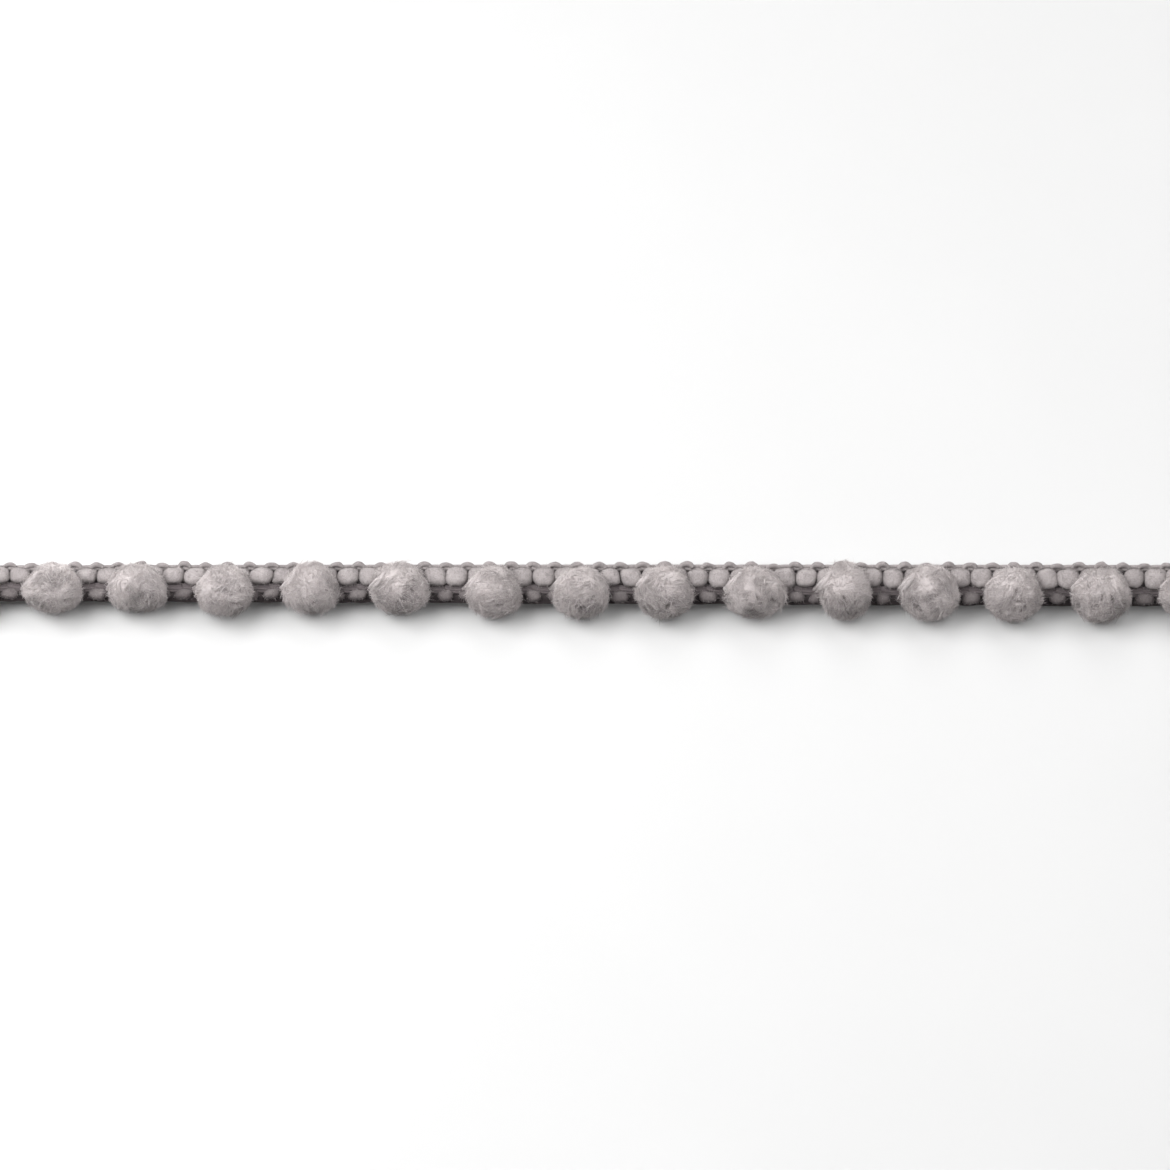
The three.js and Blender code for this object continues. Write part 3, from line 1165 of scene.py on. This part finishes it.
@dataclass(frozen=True)
class NeckStrand:
    """The plied strand of pile yarn that rises from the lower chain over a pompom's left shoulder.

    left: how far left of the pompom's middle it starts. run: how far it runs along the trim. down and
    climb: how far down the cloth it starts, and how far it rises. bow: how far it sags between. out and
    lean: how far out of the yarn's middle it starts, and how far out it comes. foot_sink and tip_sink: how
    deep its two ends lie in the yarn and in the pile. thick and swell: half of a ply's thickness, and how
    much it grows. wound_flat and ply_flat: how flat the plies are wound, and how flat each one is. twist:
    how many turns it is plied. lump: how uneven it is. Its painted shade, as Batch.add takes it, is
    foot_shade at its start and shade_gain lighter after shade_run, with ply_shade more from ply to ply.
    nap_count: how many loose fibres each ply has.
    """

    left: float = 5.0
    run: float = 3.0
    down: float = 4.6
    climb: float = 2.5
    bow: float = 0.2
    out: float = -0.6
    lean: float = 1.3
    foot_sink: float = 0.3
    tip_sink: float = 0.55
    steps: int = 18
    sides: int = 8
    plies: int = 3
    thick: float = 0.24
    swell: float = 0.16
    wound_flat: float = 0.6
    ply_flat: float = 0.8
    twist: float = 0.35
    lump: float = 0.08
    foot_shade: float = 0.1
    shade_gain: float = 0.4
    shade_run: float = 1.5
    ply_shade: float = 0.06
    nap_count: int = 150
    nap_length: float = 0.7
    nap_thick: float = 0.07
    nap_shade: Span = (-0.15, 0.15)
    nap_middle: float = 0.45
    nap_lighter: float = 0.35


@dataclass
class Pompom:
    """One round pompom of dense wool pile: its ball, nap, long fibres, stray hairs and neck strand.

    crown and underside: its height above and below its middle. pile_allowance: how far the nap stands
    out of the ball. fullness: 2 for an oval section, and more for a squarer one. tuck_left and tuck_right:
    how much the lower front is drawn in, as a share, at the trim's two ends. lift: how much the upper
    front is raised, as a share. lumps: the ball's unevenness, as its height, its wavelength and an offset.
    cleft_wide, cleft_wander, lip_away and lip_wide: shares, as a Cleft has them, the last two of
    cleft_wide. crease_shade and top_shade: how much lighter the pile is painted out of its creases, which
    leaves painted shade in them, and at its top, as painted light. nap_, fibre_ and hair_ values: the
    number, size, lie and shade of its three kinds of fibre; their shade is painted shade and light, with
    some random tone.
    """

    order: int
    size: PompomSize
    middle: Array
    cloth: HeadingCloth
    neck: NeckStrand = NeckStrand()
    pile_seed: int = 700
    lump_seed: int = 300
    ball_cuts: int = 5
    crown: float = 3.58
    underside: float = 3.6
    clearance: float = 0.03
    pile_allowance: float = 0.36
    tuft_share: float = 0.5
    fullness: float = 2.06
    tuck_left: float = 0.32
    tuck_right: float = 0.06
    lift: float = 0.07
    lumps: tuple[tuple[float, float, float], ...] = ((0.24, 3.2, 0.0), (0.12, 1.4, 9.0), (0.02, 0.5, -9.0))
    locks: int = 20
    lock_turn: float = 2.4
    lock_uneven: float = 0.07
    lock_crease: float = 0.07
    cleft_wide: float = 0.07
    cleft_wander: float = 0.06
    cleft_range: Span = (0.05, 0.35)
    lip_height: float = 0.25
    lip_away: float = 2.4
    lip_wide: float = 1.6
    crease_shade: float = 0.35
    crease_range: Span = (-0.35, 0.1)
    top_shade: float = 0.35
    top_range: Span = (-2.5, 4.0)
    nap_count: int = 6000
    nap_length: float = 0.62
    nap_thick: float = 0.09
    nap_root: float = 0.08
    nap_scatter: float = 0.35
    nap_shade: Span = (-0.08, 0.08)
    nap_lighter: float = 0.4
    fibre_count: int = 1250
    fibre_length: float = 1.6
    fibre_thick: float = 0.11
    fibre_spread: Span = (0.6, 1.3)
    fibre_lift: Span = (0.03, 0.35)
    fibre_swirl: float = 1.5
    fibre_scatter: float = 0.3
    fibre_bend: float = 0.2
    fibre_shade: Span = (-0.08, 0.12)
    hair_count: int = 110
    hair_length: float = 0.9
    hair_thick: float = 0.04
    hair_root: float = 0.1
    hair_scatter: float = 0.45
    hair_bend: float = 0.35
    hair_shade: float = 0.9

    def __post_init__(self) -> None:
        """Names the pompom and starts its own source of unevenness."""
        self.name = f"pompom_{self.order + 1:02d}"
        self.rng = np.random.default_rng(self.pile_seed + self.order)
        self.noise = SoftNoise(self.lump_seed + self.order)
        self.half = np.array([self.size.wide, self.size.deep]) / 2.0 - self.pile_allowance

    def build(self, finish: bpy.types.Material) -> bpy.types.Object:
        """Builds and dresses the pompom.

        Args:
            finish: The pile's material.

        Returns:
            The pompom's piece.
        """
        batch = Batch(self.name + "_pile")
        directions, faces = ball_directions(self.ball_cuts)
        ball, shade = self.surface(directions)
        batch.add((ball + self.middle, faces), tone_and_painted_shade=shade)
        self.add_nap(batch)
        self.add_fibres(batch)
        self.add_hairs(batch)
        self.add_neck(batch)
        piece = batch.build()
        piece.data.materials.append(finish)
        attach(piece, BODY)
        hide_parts(self.name)
        return piece

    def lock_directions(self) -> Array:
        """Evenly spread directions of the pile's locks, turned for each pompom.

        Returns:
            One direction for each lock, one long.
        """
        turn = self.order * self.lock_turn
        golden = math.pi * (3.0 - math.sqrt(5.0))
        i = np.arange(self.locks)
        height = 1.0 - 2.0 * (i + 0.5) / self.locks
        ring = np.sqrt(1.0 - height * height)
        angle = golden * i * (1.0 + self.lock_uneven * np.sin(turn + i)) + turn
        return unit(np.stack([ring * np.cos(angle), height, ring * np.sin(angle)], axis=-1))

    def cleft_depth(self, directions: Array) -> Array:
        """The clefts in the ball's front, each with a soft lip along it.

        Args:
            directions: Directions from the pompom's middle.

        Returns:
            The height of the pile there, in millimetres.
        """
        in_front = smoothstep(directions @ FRONT, *self.cleft_range)
        wander = np.stack([self.noise.at(directions * 4.0 + k, 1.0) for k in (5.0, 55.0)], axis=-1)
        place = np.stack([directions[:, 0], directions @ FRONT_UP], axis=-1) + self.cleft_wander * wander
        height = np.zeros(len(directions))
        for cleft in self.size.clefts:
            line, taper = cleft.line()
            away = np.linalg.norm(place[:, None] - line[None], axis=-1)
            near = away.argmin(axis=1)
            distance = away[np.arange(len(away)), near]
            groove = np.exp(-((distance / self.cleft_wide) ** 2))
            beside = distance - self.lip_away * self.cleft_wide
            lip = np.exp(-((beside / (self.lip_wide * self.cleft_wide)) ** 2))
            height += cleft.deep * taper[near] * (self.lip_height * lip - groove)
        return height * in_front

    def relief(self, directions: Array, ground: Array) -> Array:
        """How far the pile stands out of the smooth ball: its lumps, less its creases and clefts.

        Args:
            directions: Directions from the pompom's middle, one long.
            ground: The smooth ball's points there.

        Returns:
            The relief, in millimetres.
        """
        lean = np.sort(np.arccos(np.clip(directions @ self.lock_directions().T, -1.0, 1.0)), axis=1)
        crease = 1.0 - smoothstep(lean[:, 1] - lean[:, 0], 0.0, 0.4)
        lumps = np.zeros(len(directions))
        for height, wavelength, offset in self.lumps:
            lumps += height * self.noise.at(ground + offset, wavelength)
        return lumps - self.lock_crease * crease**1.5 + self.cleft_depth(directions)

    def surface(self, directions: Array) -> tuple[Array, Array]:
        """The pile's surface, tucked in at its lower front, lifted at its upper one and flat where it rests.

        Args:
            directions: Directions from the pompom's middle, one long.

        Returns:
            Points about the pompom's middle, and each one's painted shade, dark in creases and light on
            top, as Batch.add takes it.
        """
        size, count = self.size, len(directions)
        height = np.where(directions[:, 2] > 0.0, self.crown, self.underside)
        half = np.stack([np.full(count, self.half[0]), np.full(count, self.half[1]), height], axis=-1)
        full = (np.abs(directions) ** self.fullness).sum(axis=1, keepdims=True) ** (-1.0 / self.fullness)
        ground = directions * full * half
        relief = self.relief(directions, ground)
        tuft = np.array([math.cos(math.radians(size.tuft)), math.sin(math.radians(size.tuft)), 0.0])
        pull = smoothstep(directions @ tuft, 0.75, 1.0) * size.reach * self.tuft_share
        points = ground + unit(ground) * relief[:, None] + tuft * pull[:, None]
        rise = points @ FRONT_UP
        tuck = self.tuck_left + (self.tuck_right - self.tuck_left) * self.cloth.share(self.middle[0])
        points += FRONT_UP * (self.lift * np.maximum(rise, 0.0) - tuck * np.minimum(rise, 0.0))[:, None]
        points[:, 2] = np.maximum(points[:, 2], self.clearance - self.middle[2])
        # Painted shade in the creases and clefts, and painted light towards the top.
        out_of_crease = smoothstep(relief, *self.crease_range)
        return points, self.crease_shade * out_of_crease + self.top_shade * smoothstep(rise, *self.top_range)

    def outward(self, directions: Array) -> Array:
        """The direction out of the ball at some directions from its middle."""
        return unit(directions / np.array([*self.half, self.crown]))

    def flow(self, points: Array) -> Array:
        """Which way the pile leans at some points: smooth swirls that differ from place to place."""
        return np.stack([self.noise.at(points + 31.0 * (k + 1), 2.2) for k in range(3)], axis=-1)

    def scatter(self, amount: float, like: Array) -> Array:
        """Random differences in all three directions, one for each of some points."""
        return self.rng.normal(0.0, amount, like.shape)

    def add_nap(self, batch: Batch) -> None:
        """Adds the pile's short ends, which lean this way and that in swirls.

        Args:
            batch: The mesh that they join.
        """
        directions = unit(self.rng.normal(size=(self.nap_count, 3)))
        points, shade = self.surface(directions)
        outward = self.outward(directions)
        sway = self.flow(points) + self.scatter(self.nap_scatter, points)
        along = unit(outward * Lay.STANDING.value + sway)
        length = self.nap_length * self.rng.uniform(*PILE_SPREAD, self.nap_count)
        thick = self.nap_thick * self.rng.uniform(*THICK_SPREAD, self.nap_count)
        roots = points + self.middle - outward * self.nap_root
        shade = shade + self.rng.uniform(*self.nap_shade, self.nap_count)
        shape = above_surface(spikes(roots, along, length, thick, self.rng))
        # Painted shade at each spike's root, painted light at its tip, with some random tone.
        batch.add(shape, smooth=False, tone_and_painted_shade=spike_tips(shade, shade + self.nap_lighter))

    def add_fibres(self, batch: Batch) -> None:
        """Adds the pile's long fibres, which curl round the ball and over each other in swirls.

        Args:
            batch: The mesh that they join.
        """
        directions = unit(self.rng.normal(size=(self.fibre_count, 3)))
        points, shade = self.surface(directions)
        outward = self.outward(directions)
        drift = self.flow(points) * self.fibre_swirl + self.scatter(self.fibre_scatter, points)
        drift -= outward * (drift * outward).sum(axis=1, keepdims=True)
        lift = self.rng.uniform(*self.fibre_lift, (self.fibre_count, 1))
        along = unit(unit(drift) + outward * lift)
        droop = self.scatter(self.fibre_bend, points) - outward * (0.15 + 0.7 * lift)
        length = self.fibre_length * self.rng.uniform(*self.fibre_spread, self.fibre_count)
        shape = bent_hairs(points + self.middle, along, droop, length, self.fibre_thick, self.rng)
        # Each long fibre takes the painted shade and light of the pile where it grows, with some random tone.
        shade = shade + self.rng.uniform(*self.fibre_shade, self.fibre_count)
        batch.add(above_surface(shape), smooth=False, tone_and_painted_shade=np.repeat(shade, HAIR_POINTS))

    def add_hairs(self, batch: Batch) -> None:
        """Adds the few longer hairs that stand out of the pile, most of them on its upper half.

        Args:
            batch: The mesh that they join.
        """
        directions = unit(self.rng.normal(size=(self.hair_count, 3)))
        directions[:, 2] = np.abs(directions[:, 2]) * 0.9 - 0.1
        directions = unit(directions)
        points, _ = self.surface(directions)
        outward = self.outward(directions)
        along = unit(outward + self.scatter(self.hair_scatter, points))
        droop = self.scatter(self.hair_bend, points)
        length = self.hair_length * self.rng.uniform(*PILE_SPREAD, self.hair_count)
        roots = points + self.middle - outward * self.hair_root
        shape = bent_hairs(roots, along, droop, length, self.hair_thick, self.rng)
        # Stray hairs take a fixed level near the light end: painted light.
        batch.add(above_surface(shape), smooth=False, tone_and_painted_shade=np.full(len(shape[0]), self.hair_shade))

    def over_ball(self, points: Array) -> Array:
        """Points moved forward until they lie on the ball, where they would be inside it.

        Args:
            points: Any points near the pompom.

        Returns:
            The same points, on the ball's front or where they were.
        """
        away = points - self.middle
        across = (away[:, 0] / self.half[0]) ** 2 + ((away @ FRONT_UP) / self.half[1]) ** 2
        front = self.crown * np.sqrt(np.clip(1.0 - across, 0.0, 1.0))
        return points + FRONT * np.where(across < 1.0, np.maximum(front - away @ FRONT, 0.0), 0.0)[:, None]

    def neck_path(self) -> Array:
        """The middle line of the neck strand, from the lower chain to the pompom's shoulder.

        Returns:
            Its points, in order.
        """
        neck = self.neck
        share = np.linspace(0.0, 1.0, neck.steps)
        x = self.middle[0] - neck.left + neck.run * share
        down = neck.down - neck.climb * share + neck.bow * np.sin(math.pi * share)
        face = self.cloth.point(x, down, neck.out + neck.lean * share)
        tip_sink = neck.tip_sink * smoothstep(share, 0.5, 1.0)
        foot_sink = neck.foot_sink * (1.0 - smoothstep(share, 0.0, 0.3))
        return self.over_ball(face) - FRONT * (tip_sink + foot_sink)[:, None]

    def add_neck(self, batch: Batch) -> None:
        """Adds the neck strand, ply by ply, with painted shade where it starts and lighter towards the
        pompom.

        Args:
            batch: The mesh that it joins.
        """
        neck = self.neck
        share = np.linspace(0.0, 1.0, neck.steps)
        path = self.neck_path()[None]
        along = unit(np.gradient(path, axis=1))
        across = unit(np.cross(along, np.broadcast_to(FRONT, path.shape)))
        out = np.cross(across, along)
        direction = unit(path[0, -1] - path[0, 0])
        start = self.middle[0] - neck.left
        wide = (neck.thick + neck.swell * share)[None]
        for ply in range(neck.plies):
            turn = 2.0 * math.pi * (ply / neck.plies + neck.twist * share)[None, :, None]
            middle = path + wide[..., None] * (np.cos(turn) * across + neck.wound_flat * np.sin(turn) * out)
            strand = yarn_shells(middle, across, out, wide, wide * neck.ply_flat, neck.sides)
            for points, faces in strand:
                moved = points + neck.lump * self.noise.at(points, 0.6)[:, None]
                # Painted shade: darkest at the strand's foot, lighter along it.
                lighter = neck.shade_gain * smoothstep(points[:, 0] - start, 0.0, neck.shade_run)
                batch.add((moved, faces), tone_and_painted_shade=neck.foot_shade + lighter + neck.ply_shade * ply)
            fibres = nap_on(strand[0], neck.nap_count, Lay.COMBED, lambda points: direction,
                            neck.nap_length, neck.nap_thick, self.rng)
            # Painted shade: a middle level with some random tone, lighter at each fibre's tip.
            shade = neck.nap_middle + self.rng.uniform(*neck.nap_shade, neck.nap_count)
            batch.add(fibres, smooth=False, tone_and_painted_shade=spike_tips(shade, shade + neck.nap_lighter))


# ---------------------------------------------------------------------------------------------------
# The surface, the light and the camera
# ---------------------------------------------------------------------------------------------------


@dataclass(frozen=True)
class Softbox:
    """One large soft light. Distances are metres, and angles are degrees."""

    name: str
    power: float
    size: float
    distance: float
    azimuth: float
    elevation: float

    def build(self) -> None:
        """Makes the light, which faces the origin."""
        data = bpy.data.lights.new(self.name, "AREA")
        data.shape = "SQUARE"
        data.size = self.size
        data.energy = self.power
        light = bpy.data.objects.new(self.name, data)
        bpy.context.scene.collection.objects.link(light)
        turn, rise = math.radians(self.azimuth), math.radians(self.elevation)
        away = Vector((math.cos(turn) * math.cos(rise), math.sin(turn) * math.cos(rise), math.sin(rise)))
        light.location = away * self.distance
        light.rotation_mode = "QUATERNION"
        light.rotation_quaternion = (-away).to_track_quat("-Z", "Y")
        light.visible_camera = False


SOFTBOXES = (
    Softbox("overhead", power=13.5, size=3.0, distance=1.5, azimuth=90.0, elevation=85.0),
    Softbox("back", power=12.0, size=1.3, distance=2.2, azimuth=92.0, elevation=42.0),
    Softbox("left", power=3.5, size=0.4, distance=0.5, azimuth=180.0, elevation=50.0),
    Softbox("right", power=1.9, size=0.5, distance=0.6, azimuth=0.0, elevation=55.0),
)


@dataclass(frozen=True)
class Studio:
    """The pale surface, its soft light and the camera, which looks down on the front of the pompoms.

    surface_side and camera_distance: metres. picture_wide: how much of the trim the picture takes in.
    picture_x and picture_below_edge: where its middle is along the trim, and how far under the looped
    edge. picture_turn: how many degrees it is turned by.
    """

    cloth: HeadingCloth
    surface_side: float = 3.0
    camera_distance: float = 3.0
    picture_wide: float = 170.2
    picture_x: float = 1.16
    picture_below_edge: float = 3.34
    picture_turn: float = -0.13
    sensor: float = 36.0
    ambient: float = 0.01

    def build(self) -> None:
        """Makes everything that isn't the trim."""
        self.build_surface()
        self.build_light()
        self.build_camera()

    def build_surface(self) -> None:
        """Makes the surface."""
        half = self.surface_side / 2.0
        corners = [(-half, -half, 0), (half, -half, 0), (half, half, 0), (-half, half, 0)]
        mesh = bpy.data.meshes.new("surface")
        mesh.from_pydata(corners, [], [(0, 1, 2, 3)])
        surface = bpy.data.objects.new("surface", mesh)
        bpy.context.scene.collection.objects.link(surface)
        mesh.materials.append(SurfaceFinish().material())

    def build_light(self) -> None:
        """Makes the lights and the dim surroundings."""
        for softbox in SOFTBOXES:
            softbox.build()
        world = bpy.data.worlds.new("surroundings")
        world.use_nodes = True
        background = world.node_tree.nodes["Background"]
        background.inputs["Color"].default_value = (1.0, 1.0, 1.0, 1.0)
        background.inputs["Strength"].default_value = self.ambient
        bpy.context.scene.world = world
        bpy.context.scene.view_settings.view_transform = "Standard"
        bpy.context.scene.view_settings.look = "None"

    def build_camera(self) -> None:
        """Makes the camera."""
        data = bpy.data.cameras.new("camera")
        data.sensor_width = self.sensor
        data.lens = self.sensor * self.camera_distance / (self.picture_wide * MM)
        data.clip_start = 0.1
        data.clip_end = 10.0
        camera = bpy.data.objects.new("camera", data)
        bpy.context.scene.collection.objects.link(camera)
        target = self.cloth.point(0.0, 0.0, 0.0) - FRONT_UP * self.picture_below_edge
        target[0] = self.picture_x
        camera.location = Vector(target) * MM + Vector(FRONT) * self.camera_distance
        camera.rotation_mode = "QUATERNION"
        turn = Quaternion((0.0, 0.0, 1.0), math.radians(self.picture_turn))
        camera.rotation_quaternion = (-Vector(FRONT)).to_track_quat("-Z", "Y") @ turn
        bpy.context.scene.camera = camera


# ---------------------------------------------------------------------------------------------------
# The whole
# ---------------------------------------------------------------------------------------------------

STITCHES_PER_POMPOM = 4
POMPOM_MIDDLE_HEIGHT = 3.6


def cloth_in_frame() -> HeadingCloth:
    """The heading's cloth, where the frame's heading and its first pompom put it.

    Returns:
        The cloth, with the frame's length and middle line.
    """
    low, high = (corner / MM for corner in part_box("heading"))
    cloth = HeadingCloth(length=high.x - low.x, middle=0.0)
    first = POMPOMS[0]
    x = first.shift - cloth.length / 2.0 * (1.0 - 1.0 / len(POMPOMS))
    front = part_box("pompom_01")[0].y / MM
    return replace(cloth, middle=front + first.deep / 2.0 - first.back - cloth.chain(x))


def main() -> None:
    """Builds the studio, the heading and the pompoms, and reports each piece."""
    logging.basicConfig(level=logging.INFO, format="%(name)s: %(message)s")
    cloth = cloth_in_frame()
    Studio(cloth=cloth).build()
    heading = Heading(cloth=cloth, stitches=STITCHES_PER_POMPOM * len(POMPOMS))
    pieces = heading.build()
    pile = PILE.material()
    pitch = cloth.length / len(POMPOMS)
    for order, size in enumerate(POMPOMS):
        x = (order - (len(POMPOMS) - 1) / 2.0) * pitch + size.shift
        middle = np.array([x, cloth.chain(x) + size.back, POMPOM_MIDDLE_HEIGHT])
        pieces.append(Pompom(order=order, size=size, middle=middle, cloth=cloth).build(pile))
    for piece in pieces:
        LOG.info("%s: %d triangles", piece.name, triangle_count(piece))
    LOG.info("in all: %d triangles", sum(triangle_count(piece) for piece in pieces))


if __name__ == "__main__":
    main()
